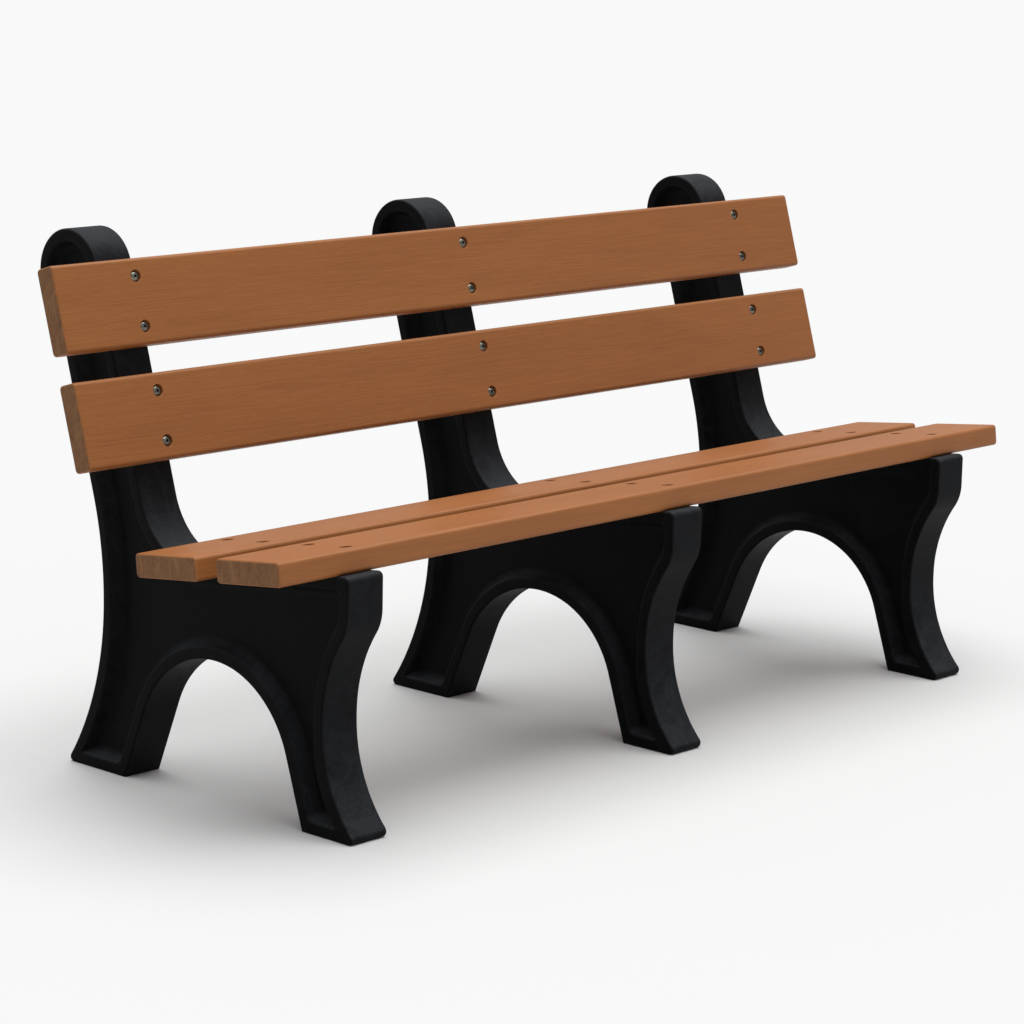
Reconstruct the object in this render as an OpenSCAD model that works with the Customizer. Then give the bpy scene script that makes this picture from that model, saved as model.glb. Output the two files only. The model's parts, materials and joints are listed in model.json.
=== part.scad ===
// Park bench: three moulded frames carry two back boards and two seat boards,
// and every board is screwed to every frame with two screws.
// X runs along the bench, the sitter faces -Y, and Z is up.
// The origin is on the ground, below the middle of the whole bench.

/* [Boards] */
// Length of every board
board_length = 1828.8; // [1500:0.1:2200]
// Width of every board
board_width = 139.7; // [115:0.1:170]
// Thickness of every board
board_thickness = 38.1; // [30:0.1:48]
// Gap between the two boards of the seat, and of the back
board_gap = 45; // [35:0.5:60]
// Radius along the long edges of the boards
board_edge_radius = 6; // [2:0.5:12]

/* [Frames] */
// Distance from a board's end to the screws of the end frame
end_distance = 165.1; // [80:0.1:250]
// Thickness of a frame
frame_thickness = 76.2; // [60:0.1:92]
// Thickness of the web between the two sunk faces of a frame
web_thickness = 36.2; // [30:0.1:44]
// How far each frame's middle stands to the left of its screws
frame_shift = 8; // [0:0.5:10]
// Width of the raised rim round a frame
rim_width = 20; // [14:0.5:26]
// Radius in the corners of the sunk face
recess_corner_radius = 5; // [2:0.5:10]

/* [Seat] */
// Height of the seat line at the front face of a frame
seat_line_height = 415; // [380:1:460]
// How much the seat falls towards the back, in degrees
seat_tilt = 6.5; // [3:0.1:9]
// How far the front seat board stands back from the front face
seat_setback = 20; // [12:0.5:28]
// Distance along the seat line from the rear seat board to the back line
seat_rear_room = 99.1; // [90:0.1:130]
// Radius of the inner curve between the seat line and the back line
inner_curve_radius = 122; // [80:1:150]

/* [Back] */
// How much the back leans, in degrees from upright
back_recline = 16.6; // [12:0.1:20]
// Distance up the back line from the seat line to the lower back board
back_board_start = 158; // [140:1:200]
// Width of a frame behind the back boards
upright_width = 116; // [100:1:130]
// How far the round head stands out behind the upright
head_overhang = 26; // [22:0.5:34]
// How much the rear of the head turns in towards the upright, in degrees
head_turn = 35; // [30:1:40]
// Radius of the neck under the rear of the head
neck_radius = 55; // [30:1:58]

/* [Front leg] */
// Distance from the toe back to the front face
front_face_setback = 13.5; // [8:0.5:18]
// Distance from the toe back to the narrowest part of the front leg
front_waist_setback = 67; // [60:0.5:75]
// Slope of the toe, in degrees from upright
toe_slope = 43.6; // [40:0.1:48]
// Height of the upright nose of the toe
toe_height = 12.4; // [8:0.1:15]
// Radius of the hollow curve above the toe
toe_curve_radius = 236; // [200:1:260]
// Slope between the waist and the front face, in degrees from upright
shoulder_slope = 33.7; // [32:0.1:36]
// How far the shoulder stands below the seat line
shoulder_drop = 81; // [70:1:100]
// Radius of the hollow curve under the shoulder
waist_curve_radius = 238; // [180:1:240]
// Radius of the rounded shoulder
shoulder_radius = 73; // [40:1:75]
// Radius of the frame's top front corner
front_corner_radius = 9; // [4:0.5:14]

/* [Rear leg] */
// Distance from the foot of the back line back to the narrowest part of the rear leg
rear_waist_distance = 124; // [118:0.5:136]
// Distance from the foot of the back line back to the heel
heel_distance = 210; // [195:1:240]
// Slope of the heel, in degrees from upright
heel_slope = 33.7; // [31:0.1:38]
// Height of the upright nose of the heel
heel_height = 6; // [5:0.5:14]
// Radius of the hollow curve above the heel
heel_curve_radius = 495; // [380:1:520]
// Radius of the long curve from the rear leg into the upright
rear_curve_radius = 580; // [450:5:640]

/* [Arch] */
// Length of the front foot along the ground
front_foot_length = 111; // [95:1:130]
// Length of the rear foot along the ground
rear_foot_length = 138; // [120:1:160]
// Slope of the inner side of the front leg, in degrees from upright
front_inner_slope = 18.3; // [16:0.1:20]
// Slope of the inner side of the rear leg, in degrees from upright
rear_inner_slope = 22; // [20:0.1:24]
// Height of the arch between the legs
arch_height = 232; // [190:1:260]
// Radius of the small corners at the feet
foot_corner_radius = 3; // [1:0.5:4]

/* [Screws] */
// Distance between the two screws that hold a board to a frame
screw_spacing = 81; // [60:0.5:100]
// Diameter of the screw shank
screw_diameter = 6.4; // [5:0.1:8]
// Whole length of a screw under its head
screw_length = 76; // [60:1:90]
// Diameter of the screw head
screw_head_diameter = 17.2; // [13:0.1:19]
// Height of the screw head
screw_head_height = 4.5; // [3.6:0.1:6]
// Height of the upright rim of the screw head, under its crown
screw_rim_height = 1.8; // [1:0.1:2.4]
// Width across the six sides of the socket in the head
socket_width = 4.8; // [3:0.1:6]
// Depth of the socket in the head
socket_depth = 2.6; // [1:0.1:2.8]
// Clearance round the head in its round pocket
head_clearance = 1.4; // [0.5:0.1:4]
// How far the head is sunk below the face of the board
head_sink = 1; // [0:0.1:5]
// Clearance round the shank in the board
shank_clearance = 0.5; // [0.2:0.1:1]
// Clearance round the shank in the frame
thread_clearance = 0.05; // [0.05:0.01:0.2]
// Depth of the frame's hole beyond the screw's point
hole_extra_depth = 4; // [1:0.5:10]

/* [Hidden] */
frame_names = ["left", "middle", "right"];
board_names = ["back_board_upper", "back_board_lower", "seat_board_front", "seat_board_rear"];
screw_ends = ["low", "high"];

// Arcs are drawn in steps no wider than either of these
arc_step_angle = 7.5;
arc_step_length = 14;
// Facets of the round parts
round_fn = 48;
// How far a cut runs past the face that it opens
overcut = 1;
// Diameter of the tip of a screw's point, as a share of the shank
tip_share = 0.25;
frame_color = [0.07, 0.07, 0.075];
board_color = [0.62, 0.38, 0.22];
screw_color = [0.62, 0.62, 0.60];

// ---- Side view: points are [distance back from the toe, height] ----

// Directions along the seat line, along the back line, and from the back line into the upright
seat_along = [cos(seat_tilt), -sin(seat_tilt)];
back_along = [sin(back_recline), cos(back_recline)];
back_in = [cos(back_recline), -sin(back_recline)];

board_pitch = board_width + board_gap;
seat_front_point = [front_face_setback, seat_line_height];
// Where the seat line meets the back line
seat_back_point = seat_front_point
    + (seat_setback + board_pitch + board_width + seat_rear_room) * seat_along;
rear_waist_setback = seat_back_point[0] + rear_waist_distance;
heel_setback = seat_back_point[0] + heel_distance;
// Centre of the round head, level with the top edge of the upper back board
head_radius = (upright_width + head_overhang) / 2;
head_centre = seat_back_point
    + (back_board_start + board_pitch + board_width) * back_along
    + head_radius * back_in;
frame_depth = max(head_centre[0] + head_radius, heel_setback);
// The inner curve starts no farther forward than the flat underside of the rear seat board
inner_curve_reach = seat_rear_room + board_edge_radius;
inner_curve_turn = 90 - back_recline + seat_tilt;

// A point on the line through p along u, at a given distance back from the toe
function at_setback(p, u, setback) = p + u * ((setback - p[0]) / u[0]);
// Where the line through p along u crosses the line through q along v
function crossing(p, u, q, v) =
    p + u * (((q[0] - p[0]) * v[1] - (q[1] - p[1]) * v[0]) / (u[0] * v[1] - u[1] * v[0]));

toe_line = [sin(toe_slope), cos(toe_slope)];
heel_line = [-sin(heel_slope), cos(heel_slope)];
toe_nose = [0, toe_height];
heel_nose = [heel_setback, heel_height];
shoulder_point = [front_face_setback, seat_line_height - shoulder_drop];
shoulder_line = [sin(shoulder_slope), -cos(shoulder_slope)];
rear_line_point = seat_back_point + upright_width * back_in;
// The rear of the head: a line along the head, then one that turns in to the neck
head_rear_point = head_centre + head_radius * back_in - head_radius * tan(head_turn / 2) * back_along;
neck_line = -sin(head_turn) * back_in - cos(head_turn) * back_along;
front_inner_point = [front_foot_length, 0];
rear_inner_point = [heel_setback - rear_foot_length, 0];
arch_point = crossing(
    front_inner_point, [sin(front_inner_slope), cos(front_inner_slope)],
    rear_inner_point, [-sin(rear_inner_slope), cos(rear_inner_slope)]
);
// Radius with which the arch just reaches its height
arch_half_angle = (front_inner_slope + rear_inner_slope) / 2;
arch_lean = (rear_inner_slope - front_inner_slope) / 2;
arch_radius = (arch_point[1] - arch_height) / (cos(arch_lean) / sin(arch_half_angle) - 1);

// Corners of the frame's outline, clockwise from the toe, each as [point, radius]
toe_corners = [
    [[0, 0], foot_corner_radius],
    [toe_nose, foot_corner_radius]
];
front_corners = [
    [at_setback(toe_nose, toe_line, front_waist_setback), toe_curve_radius],
    [at_setback(shoulder_point, shoulder_line, front_waist_setback), waist_curve_radius],
    [shoulder_point, shoulder_radius],
    [seat_front_point, front_corner_radius]
];
back_corners = [
    [seat_back_point, min(inner_curve_radius, inner_curve_reach / tan(inner_curve_turn / 2))],
    [head_centre - head_radius * back_in + head_radius * back_along, head_radius],
    [head_centre + head_radius * back_in + head_radius * back_along, head_radius],
    [head_rear_point, head_radius],
    [crossing(head_rear_point, neck_line, rear_line_point, back_along), neck_radius],
    [at_setback(rear_line_point, back_along, rear_waist_setback), rear_curve_radius],
    [at_setback(heel_nose, heel_line, rear_waist_setback), heel_curve_radius]
];
heel_corners = [
    [heel_nose, foot_corner_radius],
    [[heel_setback, 0], foot_corner_radius]
];
arch_corners = [
    [rear_inner_point, foot_corner_radius],
    [arch_point, arch_radius],
    [front_inner_point, foot_corner_radius]
];
outline_corners = concat(toe_corners, front_corners, back_corners, heel_corners, arch_corners);
// The sunk face follows the same lines, without the small upright noses of the feet
sunk_corners = concat(
    [[crossing(toe_nose, toe_line, [0, 0], [1, 0]), 0]],
    front_corners,
    back_corners,
    [[crossing(heel_nose, heel_line, [0, 0], [1, 0]), 0]],
    arch_corners
);

// ---- Rounded and inset outlines ----

function unit(v) = v / norm(v);
function cross_2d(a, b) = a[0] * b[1] - a[1] * b[0];
function at_index(list, i) = list[(i + len(list)) % len(list)];
// Direction of the side that leaves corner i
function side(corners, i) = unit(at_index(corners, i + 1)[0] - at_index(corners, i)[0]);
// Turn at corner i in degrees: positive to the left, which is a hollow corner here
function turn_at(corners, i) =
    let (a = side(corners, i - 1), b = side(corners, i))
    atan2(cross_2d(a, b), a * b);

// Every side moved inwards, to its right, by a distance; radii grow or shrink to match
function inset_corners(corners, distance, least_radius) = [
    for (i = [0 : len(corners) - 1])
        let (
            a = side(corners, i - 1),
            b = side(corners, i),
            p = corners[i][0],
            hollow = turn_at(corners, i) > 0,
            radius = corners[i][1]
        )
        [
            crossing(p + distance * [a[1], -a[0]], a, p + distance * [b[1], -b[0]], b),
            hollow ? radius + distance : max(radius - distance, least_radius)
        ]
];

// How far along its sides the rounding of corner i reaches, at its full radius
function reach(corners, i) =
    at_index(corners, i)[1] * tan(abs(turn_at(corners, i)) / 2);
// Share of their full radii that the two corners of side i have room for
function room(corners, i) =
    let (length = norm(at_index(corners, i + 1)[0] - at_index(corners, i)[0]))
    min(1, length / max(reach(corners, i) + reach(corners, i + 1), 0.001));
// The radius of corner i, made smaller where its sides are too short for it
function fitting_radius(corners, i) =
    corners[i][1] * min(room(corners, i - 1), room(corners, i));

// The arc that rounds corner i, as a list of points
function corner_arc(corners, i) =
    let (
        a = side(corners, i - 1),
        b = side(corners, i),
        p = corners[i][0],
        radius = fitting_radius(corners, i),
        turn = turn_at(corners, i),
        sign = turn > 0 ? 1 : -1,
        start = p - a * (radius * tan(abs(turn) / 2)),
        centre = start + sign * radius * [-a[1], a[0]],
        steps = ceil(max(abs(turn) / arc_step_angle, radius * abs(turn) * PI / 180 / arc_step_length)),
        spoke = start - centre
    )
    radius == 0 ? [p] : [
        for (k = [0 : steps])
            let (t = turn * k / steps)
            centre + [spoke[0] * cos(t) - spoke[1] * sin(t), spoke[0] * sin(t) + spoke[1] * cos(t)]
    ];

function rounded(corners) = [for (i = [0 : len(corners) - 1]) each corner_arc(corners, i)];

// ---- Places ----

// X of a frame's screws
function screw_x(f) = (f - 1) * (board_length / 2 - end_distance);

// Turns a side view shape, extruded upwards, to stand in the bench's frame
module stand_up(x, thickness) {
    translate([x - thickness / 2, -frame_depth / 2, 0])
        rotate([90, 0, 90])
            linear_extrude(thickness)
                children();
}

// Puts children on a board: X along the bench, Y across the board from its low edge, Z out of its face
module on_board(b) {
    is_back = b < 2;
    step = (b == 0 || b == 3) ? 1 : 0;
    back_start = seat_back_point + (back_board_start + step * board_pitch) * back_along;
    seat_start = seat_front_point + (seat_setback + step * board_pitch) * seat_along;
    start = is_back ? back_start : seat_start;
    angle = is_back ? 90 - back_recline : -seat_tilt;
    translate([0, start[0] - frame_depth / 2, start[1]])
        rotate([angle, 0, 0])
            children();
}

// Puts children at the foot of one screw's pocket, Z out of the board
module at_screw(b, f, e) {
    on_board(b)
        translate([
            screw_x(f),
            board_width / 2 + (e == 0 ? -1 : 1) * screw_spacing / 2,
            board_thickness - head_sink - screw_head_height
        ])
            children();
}

module each_screw(b, f_list) {
    for (f = f_list, e = [0, 1])
        at_screw(b, f, e)
            children();
}

// ---- Pieces ----

module frame(f) {
    middle = screw_x(f) - frame_shift;
    sunk = inset_corners(sunk_corners, rim_width, recess_corner_radius);
    recess_depth = (frame_thickness - web_thickness) / 2;
    hole_depth = screw_length + hole_extra_depth;
    color(frame_color)
        difference() {
            stand_up(middle, frame_thickness)
                polygon(rounded(outline_corners));
            for (side_sign = [-1, 1])
                stand_up(
                    middle + side_sign * (frame_thickness - recess_depth + overcut) / 2,
                    recess_depth + overcut
                )
                    polygon(rounded(sunk));
            for (b = [0 : 3])
                each_screw(b, [f])
                    translate([0, 0, -hole_depth])
                        cylinder(h = hole_depth, d = screw_diameter + 2 * thread_clearance, $fn = round_fn);
        }
}

module board_section() {
    low = board_edge_radius;
    union() {
        translate([low, 0])
            square([board_width - 2 * low, board_thickness]);
        translate([0, low])
            square([board_width, board_thickness - 2 * low]);
        for (y = [low, board_width - low], z = [low, board_thickness - low])
            translate([y, z])
                circle(r = board_edge_radius, $fn = round_fn);
    }
}

module board(b) {
    color(board_color)
        difference() {
            on_board(b)
                translate([-board_length / 2, 0, 0])
                    rotate([90, 0, 90])
                        linear_extrude(board_length)
                            board_section();
            each_screw(b, [0, 1, 2])
                cylinder(
                    h = screw_head_height + head_sink + overcut,
                    d = screw_head_diameter + 2 * head_clearance,
                    $fn = round_fn
                );
            each_screw(b, [0, 1, 2])
                translate([0, 0, -board_thickness])
                    cylinder(
                        h = board_thickness + overcut,
                        d = screw_diameter + 2 * shank_clearance,
                        $fn = round_fn
                    );
        }
}

// The head: an upright rim under a crown that is part of a ball
module screw_head() {
    head_radius = screw_head_diameter / 2;
    crown_height = screw_head_height - screw_rim_height;
    crown_radius = (head_radius * head_radius + crown_height * crown_height) / (2 * crown_height);
    intersection() {
        cylinder(h = screw_head_height, r = head_radius, $fn = round_fn);
        translate([0, 0, screw_head_height - crown_radius])
            sphere(r = crown_radius, $fn = round_fn);
    }
}

module screw(b, f, e) {
    point_length = screw_diameter;
    color(screw_color)
        at_screw(b, f, e)
            difference() {
                union() {
                    screw_head();
                    translate([0, 0, point_length - screw_length])
                        cylinder(h = screw_length - point_length, d = screw_diameter, $fn = round_fn);
                    translate([0, 0, -screw_length])
                        cylinder(
                            h = point_length,
                            d1 = screw_diameter * tip_share,
                            d2 = screw_diameter,
                            $fn = round_fn
                        );
                }
                translate([0, 0, screw_head_height - socket_depth])
                    cylinder(h = socket_depth + overcut, d = socket_width / cos(30), $fn = 6);
            }
}

for (f = [0 : 2])
    frame(f);
for (b = [0 : 3])
    board(b);
for (b = [0 : 3], f = [0 : 2], e = [0, 1])
    screw(b, f, e);
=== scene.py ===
import json
import math
import bmesh
import bpy
from mathutils import Matrix, Vector

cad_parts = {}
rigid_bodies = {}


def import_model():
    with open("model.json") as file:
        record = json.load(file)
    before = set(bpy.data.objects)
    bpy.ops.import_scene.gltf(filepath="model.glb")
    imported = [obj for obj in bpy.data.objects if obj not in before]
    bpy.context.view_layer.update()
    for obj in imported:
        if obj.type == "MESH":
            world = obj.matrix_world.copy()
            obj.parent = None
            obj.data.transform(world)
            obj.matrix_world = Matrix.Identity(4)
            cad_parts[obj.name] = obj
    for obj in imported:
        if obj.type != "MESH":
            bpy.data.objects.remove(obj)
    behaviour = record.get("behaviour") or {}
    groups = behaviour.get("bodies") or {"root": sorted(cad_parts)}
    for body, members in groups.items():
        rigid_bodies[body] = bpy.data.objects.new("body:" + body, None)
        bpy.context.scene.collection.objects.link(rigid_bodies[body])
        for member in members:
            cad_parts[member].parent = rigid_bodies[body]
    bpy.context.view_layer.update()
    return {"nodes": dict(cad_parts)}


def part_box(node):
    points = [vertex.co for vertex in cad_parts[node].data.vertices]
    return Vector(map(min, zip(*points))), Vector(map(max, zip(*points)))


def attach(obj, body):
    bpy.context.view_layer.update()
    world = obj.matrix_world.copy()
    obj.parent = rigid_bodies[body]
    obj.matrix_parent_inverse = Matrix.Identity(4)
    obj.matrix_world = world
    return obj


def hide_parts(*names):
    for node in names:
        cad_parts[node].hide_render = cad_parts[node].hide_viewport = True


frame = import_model()
bpy.ops.object.select_all(action="DESELECT")
print("frame loaded:", len(frame["nodes"]), "CAD nodes")

frameNames = ["frame_left", "frame_middle", "frame_right"]
boardNames = ["back_board_upper", "back_board_lower", "seat_board_front", "seat_board_rear"]
screwEnds = ["low", "high"]
sameSpot = 1e-5  # points closer than this are one

# where the camera stands, in metres and degrees
cameraView = {
    "place": (-4.1153, -3.7538, 1.4652),
    "turn": -47.223,
    "down": 11.269,
    "roll": 1.115,
    "lens": 114.84,
    "sensor": 36,
}


def makeCamera():
    bpy.ops.object.camera_add(location=cameraView["place"])
    camera = bpy.context.object
    camera.name = "camera"
    camera.data.lens = cameraView["lens"]
    camera.data.sensor_width = cameraView["sensor"]
    camera.data.clip_end = 100
    turn = Matrix.Rotation(math.radians(cameraView["turn"]), 3, "Z")
    tip = Matrix.Rotation(math.radians(90 - cameraView["down"]), 3, "X")
    roll = Matrix.Rotation(math.radians(cameraView["roll"]), 3, "Z")
    camera.rotation_euler = (turn @ tip @ roll).to_euler()
    bpy.context.scene.camera = camera


makeCamera()
print("camera placed")


# faces and edges are picked in edit mode by a test on the face or edge
def pickFaces(test):
    bpy.ops.mesh.select_mode(type="FACE")
    bpy.ops.mesh.select_all(action="DESELECT")
    mesh = bmesh.from_edit_mesh(bpy.context.object.data)
    mesh.normal_update()
    for face in mesh.faces:
        if test(face):
            face.select_set(True)
    bmesh.update_edit_mesh(bpy.context.object.data)


def pickEdges(test):
    bpy.ops.mesh.select_mode(type="EDGE")
    bpy.ops.mesh.select_all(action="DESELECT")
    mesh = bmesh.from_edit_mesh(bpy.context.object.data)
    mesh.normal_update()
    for edge in mesh.edges:
        if len(edge.link_faces) == 2 and test(edge):
            edge.select_set(True)
    bmesh.update_edit_mesh(bpy.context.object.data)


def middleOf(edge):
    return (edge.verts[0].co + edge.verts[1].co) / 2


def runsAlong(edge, axis):
    return abs((edge.verts[1].co - edge.verts[0].co).normalized()[axis]) > 0.999


def isSharp(edge, degrees):
    return edge.calc_face_angle(0) > math.radians(degrees)


# a pen that traces an outline: one vertex, pulled along lines and spun round arcs
def startPen(place):
    if bpy.context.mode == "EDIT_MESH":
        bpy.ops.mesh.select_all(action="DESELECT")
    bpy.ops.mesh.primitive_plane_add(size=0.01, location=(0, 0, 0))
    if bpy.context.mode != "EDIT_MESH":
        bpy.ops.object.mode_set(mode="EDIT")
    bpy.ops.mesh.select_mode(type="VERT")
    bpy.ops.mesh.merge(type="CENTER")
    bpy.ops.transform.translate(value=place)


def penLine(start, end):
    bpy.ops.mesh.extrude_region_move(TRANSFORM_OT_translate={"value": end - start})


def penArc(centre, axis, degrees, steps):
    bpy.ops.mesh.spin(steps=steps, angle=-math.radians(degrees), center=centre, axis=axis)


# joins the pen's last vertex to the first
def closePen(place):
    mesh = bmesh.from_edit_mesh(bpy.context.object.data)
    loose = [v for v in mesh.verts if len(v.link_edges) == 1]
    min(loose, key=lambda v: (v.co - place).length).select_set(True)
    bmesh.update_edit_mesh(bpy.context.object.data)
    bpy.ops.mesh.edge_face_add()


def mergeDoubles(gap):
    bpy.ops.mesh.select_all(action="SELECT")
    bpy.ops.mesh.remove_doubles(threshold=gap)


def turnFacesOut():
    bpy.ops.mesh.select_all(action="SELECT")
    bpy.ops.mesh.normals_make_consistent(inside=False)


# the picked faces take the piece's second material
def giveSecondMaterial(piece, test):
    bpy.ops.object.material_slot_add()
    bpy.ops.object.material_slot_add()
    bpy.ops.object.mode_set(mode="EDIT")
    pickFaces(test)
    piece.active_material_index = 1
    bpy.ops.object.material_slot_assign()
    bpy.ops.object.mode_set(mode="OBJECT")


def finishShape(name, smoothAngle):
    piece = bpy.context.object
    bpy.ops.object.mode_set(mode="OBJECT")
    bpy.ops.object.transform_apply(location=True, rotation=True, scale=True)
    piece.name = name
    piece.data.name = name
    bpy.ops.object.shade_smooth_by_angle(angle=math.radians(smoothAngle))
    return piece


def applyModifier(piece, kind, **settings):
    bpy.ops.object.select_all(action="DESELECT")
    piece.select_set(True)
    bpy.context.view_layer.objects.active = piece
    modifier = piece.modifiers.new(kind.lower(), kind)
    for setting, value in settings.items():
        setattr(modifier, setting, value)
    bpy.ops.object.modifier_apply(modifier=modifier.name)


def copyPiece(piece, name):
    twin = piece.copy()
    twin.data = piece.data.copy()
    bpy.context.scene.collection.objects.link(twin)
    twin.name = name
    twin.data.name = name
    return twin


# a frame seen from the side, in metres and degrees, with every distance back from the toe
frameShape = {
    "rim": 0.020,
    "recess": 0.020,
    "draft": 0.006,
    "outerRounding": 0.004,
    "rimRounding": 0.0035,
    "pocketRounding": 0.010,
    "seatHeight": 0.415,
    "seatTilt": 6.5,
    "seatLength": 0.4435,
    "seatCorner": 0.009,
    "innerCurve": 0.122,
    "recline": 16.6,
    "backHeight": 0.4824,
    "uprightWidth": 0.116,
    "headRadius": 0.071,
    "headTurn": 35,
    "neckRadius": 0.055,
    "frontFace": 0.0135,
    "frontWaist": 0.067,
    "toeSlope": 43.6,
    "toeHeight": 0.0124,
    "toeCurve": 0.232,
    "shoulderSlope": 33.7,
    "shoulderDrop": 0.081,
    "waistCurve": 0.238,
    "shoulderRadius": 0.073,
    "rearWaist": 0.57815,
    "heel": 0.6665,
    "heelSlope": 33.7,
    "heelHeight": 0.006,
    "heelCurve": 0.485,
    "rearCurve": 0.580,
    "frontFoot": 0.111,
    "rearFoot": 0.14035,
    "frontInnerSlope": 18.3,
    "rearInnerSlope": 22,
    "archRadius": 0.175,
    "toeRadius": 0.0089,
    "heelRadius": 0.0075,
    "arcStep": 0.008,
    "arcDegrees": 5,
    "cornerSteps": 5,
    "roundingSteps": 4,
}


def direction(degrees):
    # degrees from upright, positive towards the back
    return Vector((math.sin(math.radians(degrees)), math.cos(math.radians(degrees))))


def alongTo(point, way, setback):
    return point + way * ((setback - point.x) / way.x)


def downTo(point, way, height):
    return point + way * ((height - point.y) / way.y)


def crossing(p, u, q, v):
    d = q - p
    return p + u * ((d.x * v.y - d.y * v.x) / (u.x * v.y - u.y * v.x))


# corners of the side view, clockwise from the toe, each with the radius of its curve
def frameCorners():
    s = frameShape
    seatWay = direction(90 + s["seatTilt"])
    backWay = direction(s["recline"])
    inWay = direction(s["recline"] + 90)
    seatFront = Vector((s["frontFace"], s["seatHeight"]))
    seatBack = seatFront + seatWay * s["seatLength"]
    toe = Vector((0, s["toeHeight"]))
    heel = Vector((s["heel"], s["heelHeight"]))
    shoulder = Vector((s["frontFace"], s["seatHeight"] - s["shoulderDrop"]))
    head = seatBack + backWay * s["backHeight"] + inWay * s["headRadius"]
    up, out = backWay * s["headRadius"], inWay * s["headRadius"]
    headRear = head + out - up * math.tan(math.radians(s["headTurn"] / 2))
    neckWay = direction(s["recline"] + 180 + s["headTurn"])
    rearLine = seatBack + inWay * s["uprightWidth"]
    frontFoot = Vector((s["frontFoot"], 0))
    rearFoot = Vector((s["heel"] - s["rearFoot"], 0))
    arch = crossing(frontFoot, direction(s["frontInnerSlope"]), rearFoot, direction(-s["rearInnerSlope"]))
    return [
        (downTo(toe, direction(s["toeSlope"]), 0), s["toeRadius"]),
        (alongTo(toe, direction(s["toeSlope"]), s["frontWaist"]), s["toeCurve"]),
        (alongTo(shoulder, direction(180 - s["shoulderSlope"]), s["frontWaist"]), s["waistCurve"]),
        (shoulder, s["shoulderRadius"]),
        (seatFront, 0),
        (seatBack, s["innerCurve"]),
        (head - out + up, s["headRadius"]),
        (head + out + up, s["headRadius"]),
        (headRear, s["headRadius"]),
        (crossing(headRear, neckWay, rearLine, backWay), s["neckRadius"]),
        (alongTo(rearLine, backWay, s["rearWaist"]), s["rearCurve"]),
        (alongTo(heel, direction(-s["heelSlope"]), s["rearWaist"]), s["heelCurve"]),
        (downTo(heel, direction(-s["heelSlope"]), 0), s["heelRadius"]),
        (rearFoot, 0),
        (arch, s["archRadius"]),
        (frontFoot, 0),
    ]


def unitWay(points, i):
    return (points[(i + 1) % len(points)] - points[i]).normalized()


def turnAt(points, i):
    before, after = unitWay(points, i - 1), unitWay(points, i)
    return math.atan2(before.x * after.y - before.y * after.x, before.dot(after))


# the same corners, with every side moved inwards; a curve shrinks where its sides are too short
def insetCorners(corners, distance):
    points = [point for point, radius in corners]
    moved = []
    for i, (point, radius) in enumerate(corners):
        before, after = unitWay(points, i - 1), unitWay(points, i)
        offBefore = point + Vector((before.y, -before.x)) * distance
        offAfter = point + Vector((after.y, -after.x)) * distance
        growth = distance if turnAt(points, i) > 0 else -distance
        newRadius = max(radius + growth, 0) if radius else 0
        moved.append((crossing(offBefore, before, offAfter, after), newRadius))
    points = [point for point, radius in moved]
    reach = [radius * math.tan(abs(turnAt(points, i)) / 2) for i, (point, radius) in enumerate(moved)]
    count = len(moved)
    room = []
    for i in range(count):
        needed = max(reach[i] + reach[(i + 1) % count], 1e-6)
        room.append(min(1, 0.99 * (points[(i + 1) % count] - points[i]).length / needed))
    return [(point, radius * min(room[i - 1], room[i])) for i, (point, radius) in enumerate(moved)]


def arcSteps(corners):
    points = [point for point, radius in corners]
    steps = []
    for i, (point, radius) in enumerate(corners):
        turn = abs(turnAt(points, i))
        byLength = turn * radius / frameShape["arcStep"]
        byTurn = math.degrees(turn) / frameShape["arcDegrees"]
        steps.append(math.ceil(max(byLength, byTurn)) if radius else 0)
    return steps


def traceOutline(corners, steps, x, toeY):
    def place(point):
        return Vector((x, toeY + point.x, point.y))

    points = [point for point, radius in corners]
    first = pen = None
    for i, (corner, radius) in enumerate(corners):
        turn = turnAt(points, i)
        reach = radius * math.tan(abs(turn) / 2)
        start = corner - unitWay(points, i - 1) * reach
        if first is None:
            first = start
            startPen(place(start))
        else:
            penLine(place(pen), place(start))
        if steps[i]:
            before = unitWay(points, i - 1)
            side = Vector((-before.y, before.x)) * math.copysign(1, turn)
            penArc(place(start + side * radius), (1, 0, 0), math.degrees(turn), steps[i])
        pen = corner + unitWay(points, i) * reach
    closePen(place(first))


# what the pen has just traced is kept as a named group, to pick it again
def keepOutline(name):
    bpy.ops.mesh.select_linked()
    bpy.context.object.vertex_groups.new(name=name)
    bpy.ops.object.vertex_group_assign()


def pickOutlines(*names):
    bpy.ops.mesh.select_mode(type="EDGE")
    bpy.ops.mesh.select_all(action="DESELECT")
    for name in names:
        bpy.ops.object.vertex_group_set_active(group=name)
        bpy.ops.object.vertex_group_select()


def bevelPicked(offset, steps):
    bpy.ops.mesh.bevel(offset=offset, segments=steps, affect="EDGES", clamp_overlap=False)


# rounds the edges that run along the bench at a sharp corner, each to the same radius
def roundCorners(test, radius, steps):
    def isNext(edge):
        return runsAlong(edge, 0) and isSharp(edge, 20) and test(middleOf(edge))

    mesh = bmesh.from_edit_mesh(bpy.context.object.data)
    mesh.normal_update()
    corners = {}
    for edge in mesh.edges:
        if isNext(edge):
            place = middleOf(edge)
            corners[round(place.y, 4), round(place.z, 4)] = (place.copy(), edge.calc_face_angle(0))
    for place, turn in corners.values():
        pickEdges(lambda edge: isNext(edge) and (middleOf(edge) - place).yz.length < 1e-4)
        bevelPicked(radius * math.tan(turn / 2), steps)


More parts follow.
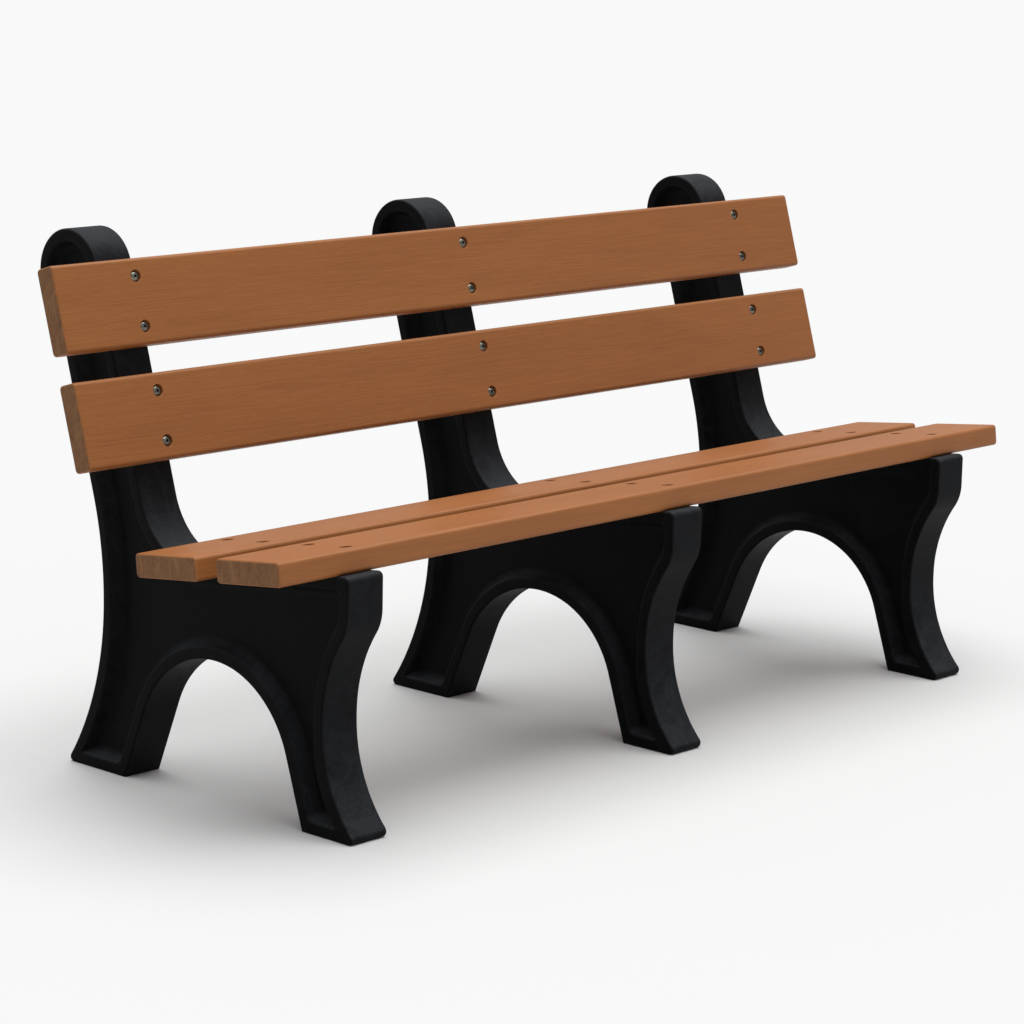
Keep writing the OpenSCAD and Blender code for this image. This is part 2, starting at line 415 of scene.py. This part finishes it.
# one side of a frame is traced, bridged and mirrored, and then its edges are rounded
def makeFrame(name):
    s = frameShape
    low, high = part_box(name)
    half = (high.x - low.x) / 2
    outer = frameCorners()
    steps = arcSteps(outer)
    traceOutline(insetCorners(outer, s["rim"] + s["draft"]), steps, 2 * s["recess"] - half, low.y)
    keepOutline("web")
    traceOutline(insetCorners(outer, s["rim"]), steps, s["recess"] - half, low.y)
    keepOutline("rim")
    traceOutline(outer, steps, -half, low.y)
    keepOutline("outer")
    pickOutlines("web", "rim")
    bpy.ops.mesh.bridge_edge_loops()
    pickOutlines("rim", "outer")
    bpy.ops.mesh.bridge_edge_loops()
    # loops are bridged a step apart, and the inner two are then drawn out to their place
    pickOutlines("web", "rim")
    bpy.ops.transform.translate(value=(-s["recess"], 0, 0))
    pickOutlines("web")
    bpy.ops.mesh.edge_face_add()
    pickOutlines("outer")
    bpy.ops.mesh.extrude_region_move(TRANSFORM_OT_translate={"value": (half, 0, 0)})
    bpy.ops.object.mode_set(mode="OBJECT")
    piece = bpy.context.object
    piece.vertex_groups.clear()
    applyModifier(piece, "MIRROR", use_axis=(True, False, False), merge_threshold=sameSpot)
    bpy.ops.object.mode_set(mode="EDIT")
    mergeDoubles(sameSpot)
    turnFacesOut()

    roundCorners(lambda place: place.z > s["rim"], s["seatCorner"], s["cornerSteps"])

    # the pocket's walls lean by the draft; their feet and the corners between them are rounded
    def isOnWall(face):
        return 0.05 < abs(face.normal.x) < 0.5

    def isPocketEdge(edge):
        walls = [isOnWall(face) for face in edge.link_faces]
        inside = all(abs(v.co.x) < half - s["recess"] + 1e-4 for v in edge.verts)
        return (any(walls) and inside) or (all(walls) and isSharp(edge, 30))

    pickEdges(isPocketEdge)
    bevelPicked(s["pocketRounding"], s["roundingSteps"])

    # the edges of the flat rim, first round the outside and then round the pocket
    def isFaceEdge(edge):
        return all(abs(abs(v.co.x) - half) < sameSpot for v in edge.verts) and isSharp(edge, 40)

    def isOuterEdge(edge):
        return isFaceEdge(edge) and any(abs(face.normal.x) < 0.05 for face in edge.link_faces)

    def isRimEdge(edge):
        wallPoints = [v for face in edge.link_faces if isOnWall(face) for v in face.verts]
        pastRounding = half - s["outerRounding"] - 1e-3
        return isFaceEdge(edge) and any(abs(v.co.x) < pastRounding for v in wallPoints)

    pickEdges(isOuterEdge)
    bevelPicked(s["outerRounding"], s["roundingSteps"])
    pickEdges(isRimEdge)
    bevelPicked(s["rimRounding"], s["roundingSteps"])
    bpy.ops.mesh.select_all(action="SELECT")
    bpy.ops.transform.translate(value=((low.x + high.x) / 2, 0, 0))
    finishShape(name + "_moulding", 35)
    applyModifier(piece, "WEIGHTED_NORMAL", keep_sharp=True)
    return piece


firstFrame = makeFrame(frameNames[0])
frames = {frameNames[0]: firstFrame}
for name in frameNames[1:]:
    twin = copyPiece(firstFrame, name + "_moulding")
    twin.data.transform(Matrix.Translation(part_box(name)[0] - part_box(frameNames[0])[0]))
    frames[name] = twin
print("frames moulded:", len(frames))

# a board, flat at first: X along it, Y across it, Z out of the face with the screws
boardShape = {
    "width": 0.1397,
    "thickness": 0.0381,
    "longEdge": 0.0065,
    "endEdge": 0.004,
    "sawnReach": 0.01,
    "edgeSteps": 6,
    "endSteps": 5,
}
screwShape = {
    "spacing": 0.081,
    "pocketRadius": 0.010,
    "pocketDepth": 0.0055,
    "pocketLip": 0.0006,
    "holeRadius": 0.0037,
    "headRadius": 0.0086,
    "headHeight": 0.0045,
    "rimHeight": 0.0006,
    "rimEdge": 0.0003,
    "domeSteps": 12,
    "shankRadius": 0.0032,
    "coreRadius": 0.0025,
    "length": 0.076,
    "tip": 0.0064,
    "threadLength": 0.044,
    "pitch": 0.0028,
    "socketWidth": 0.0048,
    "socketDepth": 0.0026,
    "socketCone": 0.0006,
    "shadeDepth": 0.0015,
    "turnSteps": 40,
}


def middleOfBox(node):
    low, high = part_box(node)
    return (low + high) / 2


def screwName(board, frameName, end):
    return "_".join(["screw", board, frameName.split("_")[1], end])


def screwPlaces(board):
    # along and across the board, from its middle
    places = {}
    for frameName in frameNames:
        for side, end in zip((-1, 1), screwEnds):
            x = middleOfBox(screwName(board, frameName, end)).x - middleOfBox(board).x
            places[frameName, end] = Vector((x, side * screwShape["spacing"] / 2, 0))
    return places


# a closed shape turned on the Z axis from a profile that starts and ends on the axis
def turnProfile(profile, steps):
    points = [Vector((radius, 0, height)) for radius, height in profile]
    startPen(points[0])
    for start, end in zip(points, points[1:]):
        penLine(start, end)
    bpy.ops.mesh.select_all(action="SELECT")
    bpy.ops.mesh.spin(steps=steps, angle=math.radians(360), center=(0, 0, 0), axis=(0, 0, 1))
    mergeDoubles(sameSpot / 10)
    turnFacesOut()


# what a drill with a counterbore takes out of a board, its mouth at the board's face
def makeDrill():
    s = screwShape
    lip, deep = s["pocketLip"], boardShape["thickness"]
    over = 0.002
    turnProfile([
        (0, over),
        (s["pocketRadius"] + lip, over),
        (s["pocketRadius"] + lip, 0),
        (s["pocketRadius"], -lip),
        (s["pocketRadius"], lip - s["pocketDepth"]),
        (s["pocketRadius"] - lip, -s["pocketDepth"]),
        (s["holeRadius"], -s["pocketDepth"]),
        (s["holeRadius"], -deep - over),
        (0, -deep - over),
    ], s["turnSteps"])
    return finishShape("drill", 30)


def makeBoard():
    s = boardShape
    low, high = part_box(boardNames[0])
    length = high.x - low.x
    bpy.ops.mesh.primitive_cube_add(size=1, location=(0, 0, 0))
    bpy.ops.object.mode_set(mode="EDIT")
    bpy.ops.transform.resize(value=(length, s["width"], s["thickness"]))
    pickEdges(lambda edge: runsAlong(edge, 0))
    bpy.ops.mesh.bevel(offset=s["longEdge"], segments=s["edgeSteps"], affect="EDGES")
    pickEdges(lambda edge: isSharp(edge, 60))
    bpy.ops.mesh.bevel(offset=s["endEdge"], segments=s["endSteps"], affect="EDGES")
    piece = finishShape("board", 30)
    drill = makeDrill()
    for place in screwPlaces(boardNames[0]).values():
        bit = copyPiece(drill, "bit")
        bit.data.transform(Matrix.Translation(place + Vector((0, 0, s["thickness"] / 2))))
        applyModifier(piece, "BOOLEAN", object=bit, operation="DIFFERENCE", solver="EXACT")
        bpy.data.objects.remove(bit)
    bpy.data.objects.remove(drill)
    bpy.ops.object.mode_set(mode="EDIT")
    mergeDoubles(sameSpot)
    bpy.ops.mesh.select_all(action="SELECT")
    bpy.ops.mesh.dissolve_degenerate(threshold=sameSpot / 10)
    bpy.ops.object.mode_set(mode="OBJECT")
    bpy.ops.object.shade_smooth_by_angle(angle=math.radians(30))
    applyModifier(piece, "WEIGHTED_NORMAL", keep_sharp=True)

    def isSawn(face):
        return abs(face.normal.x) > 0.8 and all(abs(v.co.x) > length / 2 - s["sawnReach"] for v in face.verts)

    giveSecondMaterial(piece, isSawn)
    return piece


# turns a flat board to its slope and moves it to its place
def standUp(board):
    tilt = 90 - frameShape["recline"] if board.startswith("back") else -frameShape["seatTilt"]
    return Matrix.Translation(middleOfBox(board)) @ Matrix.Rotation(math.radians(tilt), 4, "X")


flatBoard = makeBoard()
boards = {}
for name in boardNames:
    boards[name] = copyPiece(flatBoard, name + "_lumber")
    boards[name].data.transform(standUp(name))
bpy.data.objects.remove(flatBoard)
print("boards cut and drilled:", len(boards))


# a screw with its head's flat underside at the foot of the pocket
def makeScrew():
    s = screwShape
    crown = s["headHeight"] - s["rimHeight"]
    profile = []
    for i in range(s["domeSteps"] + 1):
        a = math.radians(90) * i / s["domeSteps"]
        profile.append((s["headRadius"] * math.sin(a), s["rimHeight"] + crown * math.cos(a)))
    profile += [
        (s["headRadius"], s["rimEdge"]),
        (s["headRadius"] - s["rimEdge"], 0),
        (s["shankRadius"], 0),
    ]
    threadTop = s["threadLength"] - s["length"]
    profile += [(s["shankRadius"], threadTop + s["pitch"]), (s["coreRadius"], threadTop + s["pitch"] / 2)]
    turns = int((s["threadLength"] - s["tip"]) / s["pitch"])
    for i in range(turns):
        z = threadTop - i * s["pitch"]
        profile += [
            (s["coreRadius"], z - s["pitch"] * 0.35),
            (s["shankRadius"], z - s["pitch"] * 0.5),
            (s["coreRadius"], z - s["pitch"] * 0.65),
        ]
    profile += [(s["coreRadius"], s["tip"] - s["length"]), (0, -s["length"])]
    turnProfile(profile, s["turnSteps"])
    piece = finishShape("screw", 40)
    # the six-sided socket, sunk in the crown with a cone at its foot
    socketCorner = s["socketWidth"] / 2 / math.cos(math.radians(30))
    over = 0.001
    turnProfile([
        (0, s["headHeight"] + over),
        (socketCorner, s["headHeight"] + over),
        (socketCorner, s["headHeight"] - s["socketDepth"] + s["socketCone"]),
        (0, s["headHeight"] - s["socketDepth"]),
    ], 6)
    key = finishShape("key", 30)
    applyModifier(piece, "BOOLEAN", object=key, operation="DIFFERENCE", solver="EXACT")
    bpy.data.objects.remove(key)

    # painted shade: the socket's walls and deep foot take a near-black material that stands in for the shade
    # inside the socket
    def isInPaintedShade(face):
        inSocket = all(v.co.xy.length < socketCorner + sameSpot and v.co.z > 0 for v in face.verts)
        isDeep = max(v.co.z for v in face.verts) < s["headHeight"] - s["shadeDepth"]
        return inSocket and (abs(face.normal.z) < 0.3 or isDeep)

    giveSecondMaterial(piece, isInPaintedShade)
    return piece


flatScrew = makeScrew()
screws = {}
for board in boardNames:
    foot = boardShape["thickness"] / 2 - screwShape["pocketDepth"]
    for (frameName, end), place in screwPlaces(board).items():
        node = screwName(board, frameName, end)
        screws[node] = copyPiece(flatScrew, node + "_turned")
        screws[node].data.transform(standUp(board) @ Matrix.Translation(place + Vector((0, 0, foot))))
bpy.data.objects.remove(flatScrew)
print("screws turned:", len(screws))


# nodes are added with their settings, and with a value or a link for each input
def addNode(material, kind, inputs=None, **settings):
    node = material.node_tree.nodes.new("ShaderNode" + kind)
    for setting, value in settings.items():
        setattr(node, setting, value)
    for socket, value in (inputs or {}).items():
        if isinstance(value, bpy.types.NodeSocket):
            material.node_tree.links.new(value, node.inputs[socket])
        else:
            node.inputs[socket].default_value = value
    return node


def newMaterial(name, shader):
    material = bpy.data.materials.new(name)
    material.use_nodes = True
    surface = material.node_tree.nodes["Principled BSDF"]
    for socket, value in shader.items():
        surface.inputs[socket].default_value = value
    return material, surface


def setInput(material, surface, socket, value):
    material.node_tree.links.new(value, surface.inputs[socket])


def stretched(material, scale):
    place = addNode(material, "TexCoord").outputs["Object"]
    return addNode(material, "Mapping", {"Vector": place, "Scale": scale}).outputs["Vector"]


def noise(material, where, detail, roughness=0.5, distortion=0.0):
    inputs = {"Vector": where, "Scale": 1.0, "Detail": detail}
    inputs |= {"Roughness": roughness, "Distortion": distortion}
    return addNode(material, "TexNoise", inputs).outputs["Fac"]


def spread(material, value, low, high, newLow=0.0, newHigh=1.0):
    inputs = {"Value": value, "From Min": low, "From Max": high, "To Min": newLow, "To Max": newHigh}
    return addNode(material, "MapRange", inputs, clamp=True).outputs["Result"]


def blendColours(material, amount, first, second):
    return addNode(material, "Mix", {0: amount, 6: first, 7: second}, data_type="RGBA").outputs[2]


def bumpFrom(material, height, strength, distance, under=None):
    inputs = {"Height": height, "Strength": strength, "Distance": distance}
    if under is not None:
        inputs["Normal"] = under
    return addNode(material, "Bump", inputs).outputs["Normal"]


# a pattern is its stretch, detail, roughness and distortion; a bump is its strength and depth in metres
plasticLook = {
    "shader": {"Specular IOR Level": 0.04},
    "dark": (0.0014, 0.0014, 0.0016, 1),
    "pale": (0.006, 0.0062, 0.0068, 1),
    "toneRange": (0.14, 0.42),
    # from here to the patches: painted light, a bluish grey painted onto the outer bands and, as a painted
    # sheen, onto faces that point up
    "paintedLight": (0.024, 0.0257, 0.0288, 1),
    "edgeTurn": (0.2, 0.8),
    "paintedLightOnBands": 0.26,
    "paintedSheenOnTops": 0.85,
    "paintedLightPatches": (0.12, 0.42, 0.45, 1.55),
    "flow": ((14, 14, 14), 7, 0.62, 2.2),
    "speckle": ((420, 420, 420), 3, 0.6),
    "roughness": (0.42, 0.62),
    "flowBump": (0.5, 0.0012),
    "speckleBump": (0.5, 0.0003),
}
grainLook = {
    "shader": {"Specular IOR Level": 0.3},
    "deep": (0.207, 0.0665, 0.015, 1),
    "pale": (0.316, 0.1155, 0.029, 1),
    "toneRange": (0.78, 1.92),
    "drift": (2.5, 6, 6),
    "driftDetail": 2.0,
    "driftAmount": (0, 6, 6),
    "streak": (7, 330, 330),
    "streakNoise": (5, 0.6, 0.35),
    "hair": ((45, 1500, 1500), 3, 0.55, 0.2),
    "cloud": ((3, 17, 17), 3, 0.5, 0.6),
    "cloudShare": 0.7,
    "roughness": (0.4, 0.58),
    "streakBump": (0.6, 0.0007),
    "hairBump": (0.5, 0.0003),
}
sawnLook = {
    "shader": {"Specular IOR Level": 0.3, "Roughness": 0.8},
    "deep": (0.108, 0.046, 0.016, 1),
    "pale": (0.215, 0.1, 0.042, 1),
    "toneRange": (0.4, 0.9),
    "patch": ((85, 110, 42), 5, 0.6, 0.8),
    "cell": 620,
    "cellShare": 0.35,
    "patchBump": (0.5, 0.0006),
    "cellBump": (0.5, 0.0005),
}
steelLook = {
    "shader": {"Metallic": 1.0},
    "dark": (0.07, 0.066, 0.055, 1),
    "bright": (0.24, 0.228, 0.195, 1),
    "toneRange": (0.32, 0.62),
    "stain": ((150, 150, 150), 5, 0.6, 0.8),
    "scratch": ((900, 2600, 900), 3, 0.5),
    "roughness": (0.18, 0.3),
    "scratchBump": (0.4, 0.00006),
}
# painted shade: the near-black look that stands in for the shade inside a screw's socket, with a fine mottle
socketShadeLook = {
    "shader": {"Specular IOR Level": 0.1, "Roughness": 0.9},
    "dark": (0.003, 0.0027, 0.0022, 1),
    "pale": (0.016, 0.0135, 0.01, 1),
    "shadeMottle": ((1400, 1400, 1400), 3, 0.6),
}


def patternOf(material, settings):
    scale, *rest = settings
    return noise(material, stretched(material, scale), *rest)


def arithmetic(material, operation, *values, clamp=False):
    return addNode(material, "Math", dict(enumerate(values)), operation=operation, use_clamp=clamp).outputs[0]


# a noise stays mostly between 0.3 and 0.7
def roughnessFrom(material, pattern, limits):
    return spread(material, pattern, 0.3, 0.7, *limits)


def makePlastic():
    look = plasticLook
    material, surface = newMaterial("moulded_plastic", look["shader"])
    flow = patternOf(material, look["flow"])
    speckle = patternOf(material, look["speckle"])
    mottle = arithmetic(material, "MULTIPLY", flow, speckle)
    tone = spread(material, mottle, *look["toneRange"])
    black = blendColours(material, tone, look["dark"], look["pale"])
    # painted light: the outer bands are painted a little lighter than the webs, and faces that point up get
    # more, as a painted sheen; both are broken up by the mottle
    facing = addNode(material, "SeparateXYZ", {0: addNode(material, "NewGeometry").outputs["Normal"]})
    sideways = arithmetic(material, "ABSOLUTE", facing.outputs["X"])
    onEdges = spread(material, sideways, *look["edgeTurn"], look["paintedLightOnBands"], 0.0)
    onTops = spread(material, facing.outputs["Z"], 0.0, 1.0, 0.0, look["paintedSheenOnTops"])
    paintedLight = arithmetic(material, "ADD", onEdges, onTops)
    patches = spread(material, mottle, *look["paintedLightPatches"])
    patchy = arithmetic(material, "MULTIPLY", paintedLight, patches, clamp=True)
    setInput(material, surface, "Base Color", blendColours(material, patchy, black, look["paintedLight"]))
    setInput(material, surface, "Roughness", roughnessFrom(material, flow, look["roughness"]))
    broad = bumpFrom(material, flow, *look["flowBump"])
    setInput(material, surface, "Normal", bumpFrom(material, speckle, *look["speckleBump"], under=broad))
    return material


def makeGrain():
    look = grainLook
    material, surface = newMaterial("lumber_face", look["shader"])
    # the streaks wander a little as they run along the board
    driftInputs = {"Vector": stretched(material, look["drift"]), "Scale": 1.0, "Detail": look["driftDetail"]}
    drift = addNode(material, "TexNoise", driftInputs).outputs["Color"]
    lineInputs = {0: drift, 1: look["driftAmount"], 2: stretched(material, look["streak"])}
    lines = addNode(material, "VectorMath", lineInputs, operation="MULTIPLY_ADD").outputs["Vector"]
    streak = noise(material, lines, *look["streakNoise"])
    hair = patternOf(material, look["hair"])
    cloud = patternOf(material, look["cloud"])
    mixed = arithmetic(material, "ADD", streak, hair)
    shaded = arithmetic(material, "MULTIPLY_ADD", cloud, look["cloudShare"], mixed)
    tone = spread(material, shaded, *look["toneRange"])
    setInput(material, surface, "Base Color", blendColours(material, tone, look["deep"], look["pale"]))
    setInput(material, surface, "Roughness", roughnessFrom(material, hair, look["roughness"]))
    broad = bumpFrom(material, streak, *look["streakBump"])
    setInput(material, surface, "Normal", bumpFrom(material, hair, *look["hairBump"], under=broad))
    return material


def makeSawn():
    look = sawnLook
    material, surface = newMaterial("lumber_end", look["shader"])
    patch = patternOf(material, look["patch"])
    place = addNode(material, "TexCoord").outputs["Object"]
    cell = addNode(material, "TexVoronoi", {"Vector": place, "Scale": look["cell"]}).outputs["Distance"]
    mixed = arithmetic(material, "MULTIPLY_ADD", cell, look["cellShare"], patch)
    tone = spread(material, mixed, *look["toneRange"])
    setInput(material, surface, "Base Color", blendColours(material, tone, look["deep"], look["pale"]))
    broad = bumpFrom(material, patch, *look["patchBump"])
    setInput(material, surface, "Normal", bumpFrom(material, cell, *look["cellBump"], under=broad))
    return material


def makeSteel():
    look = steelLook
    material, surface = newMaterial("screw_steel", look["shader"])
    stain = patternOf(material, look["stain"])
    scratch = patternOf(material, look["scratch"])
    tone = spread(material, stain, *look["toneRange"])
    setInput(material, surface, "Base Color", blendColours(material, tone, look["dark"], look["bright"]))
    setInput(material, surface, "Roughness", roughnessFrom(material, scratch, look["roughness"]))
    setInput(material, surface, "Normal", bumpFrom(material, scratch, *look["scratchBump"]))
    return material


# the socket's painted shade: a near-black with a fine mottle
def makeSocketShade():
    look = socketShadeLook
    material, surface = newMaterial("socket_painted_shade", look["shader"])
    shadeMottle = patternOf(material, look["shadeMottle"])
    setInput(material, surface, "Base Color", blendColours(material, shadeMottle, look["dark"], look["pale"]))
    return material


plastic, grain, sawn, steel, socketShade = makePlastic(), makeGrain(), makeSawn(), makeSteel(), makeSocketShade()
print("materials mixed: 5")


def install(piece, node, slot, *materials):
    while len(piece.data.materials) < len(materials):
        piece.data.materials.append(None)
    for i, material in enumerate(materials):
        piece.data.materials[i] = material
    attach(piece, "root")
    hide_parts(node)


for node, piece in frames.items():
    install(piece, node, "frame", plastic)
for node, piece in boards.items():
    install(piece, node, "board", grain, sawn)
for node, piece in screws.items():
    install(piece, node, "screw", steel, socketShade)
print("pieces installed:", len(frames) + len(boards) + len(screws))

# the studio: a pale floor, a pale room and one wide soft light overhead
studio = {
    "floorSize": 160,
    "floorColour": (0.52, 0.52, 0.517, 1),
    "floorRoughness": 0.9,
    "roomColour": (0.97, 0.985, 1.0, 1),
    "roomStrength": 0.47,
    "sunStrength": 4.25,
    "sunSpread": 70,
    "sunTurn": (1, 8, 0),
}


def makeStudio():
    s = studio
    bpy.ops.mesh.primitive_plane_add(size=s["floorSize"], location=(0, 0, 0))
    floor = bpy.context.object
    floor.name = "floor"
    paint = {"Base Color": s["floorColour"], "Roughness": s["floorRoughness"]}
    floor.data.materials.append(newMaterial("floor_paint", paint)[0])
    world = bpy.data.worlds.new("room")
    world.use_nodes = True
    walls = world.node_tree.nodes["Background"]
    walls.inputs["Color"].default_value = s["roomColour"]
    walls.inputs["Strength"].default_value = s["roomStrength"]
    bpy.context.scene.world = world
    bpy.ops.object.light_add(type="SUN", location=(0, 0, 4))
    sun = bpy.context.object
    sun.name = "overhead"
    sun.data.energy = s["sunStrength"]
    sun.data.angle = math.radians(s["sunSpread"])
    sun.rotation_euler = [math.radians(angle) for angle in s["sunTurn"]]
    bpy.context.scene.view_settings.view_transform = "Standard"


makeStudio()
print("studio lit")
